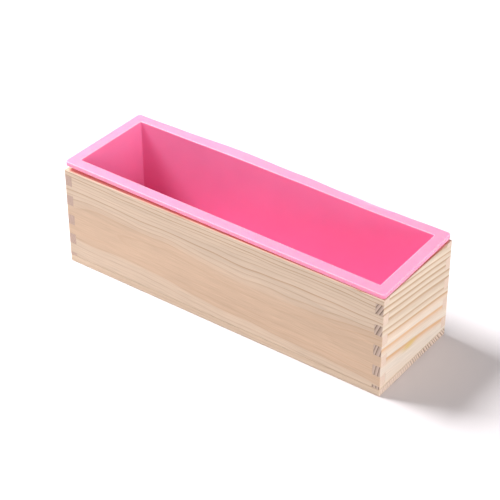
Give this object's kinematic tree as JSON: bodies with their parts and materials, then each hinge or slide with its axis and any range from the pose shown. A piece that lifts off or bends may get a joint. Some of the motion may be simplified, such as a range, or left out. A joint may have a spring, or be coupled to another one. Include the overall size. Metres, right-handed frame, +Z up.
{
  "type": "soap loaf mould",
  "caption": "Long open-topped pine box with finger-jointed corners, holding a lift-out silicone liner with a flat turned-out rim, for casting soap loaves.",
  "frame": {"origin": "On the resting surface, under the middle of the box: the bottom centre of the bounding box.", "axes": "+X along the loaf, +Y across the box from the front long panel to the rear one, +Z up out of the open top."},
  "size_m": [0.28, 0.088, 0.086],
  "materials": {
    "pine_long_panels": "bare sanded pine, matte",
    "pine_end_panels": "bare sanded pine, matte",
    "pine_base": "bare sanded pine, matte",
    "pink_silicone": "moulded silicone rubber, soft satin"
  },
  "bodies": {
    "box": {"base_board": "pine_base", "front_panel": "pine_long_panels", "rear_panel": "pine_long_panels", "left_end_panel": "pine_end_panels", "right_end_panel": "pine_end_panels"},
    "liner": {"silicone_liner": "pink_silicone"}
  },
  "joints": [
    {"name": "liner_lift", "type": "slide", "parent": "box", "child": "liner", "axis": [0, 0, 1], "range_m": [0, 0.09]}
  ]
}
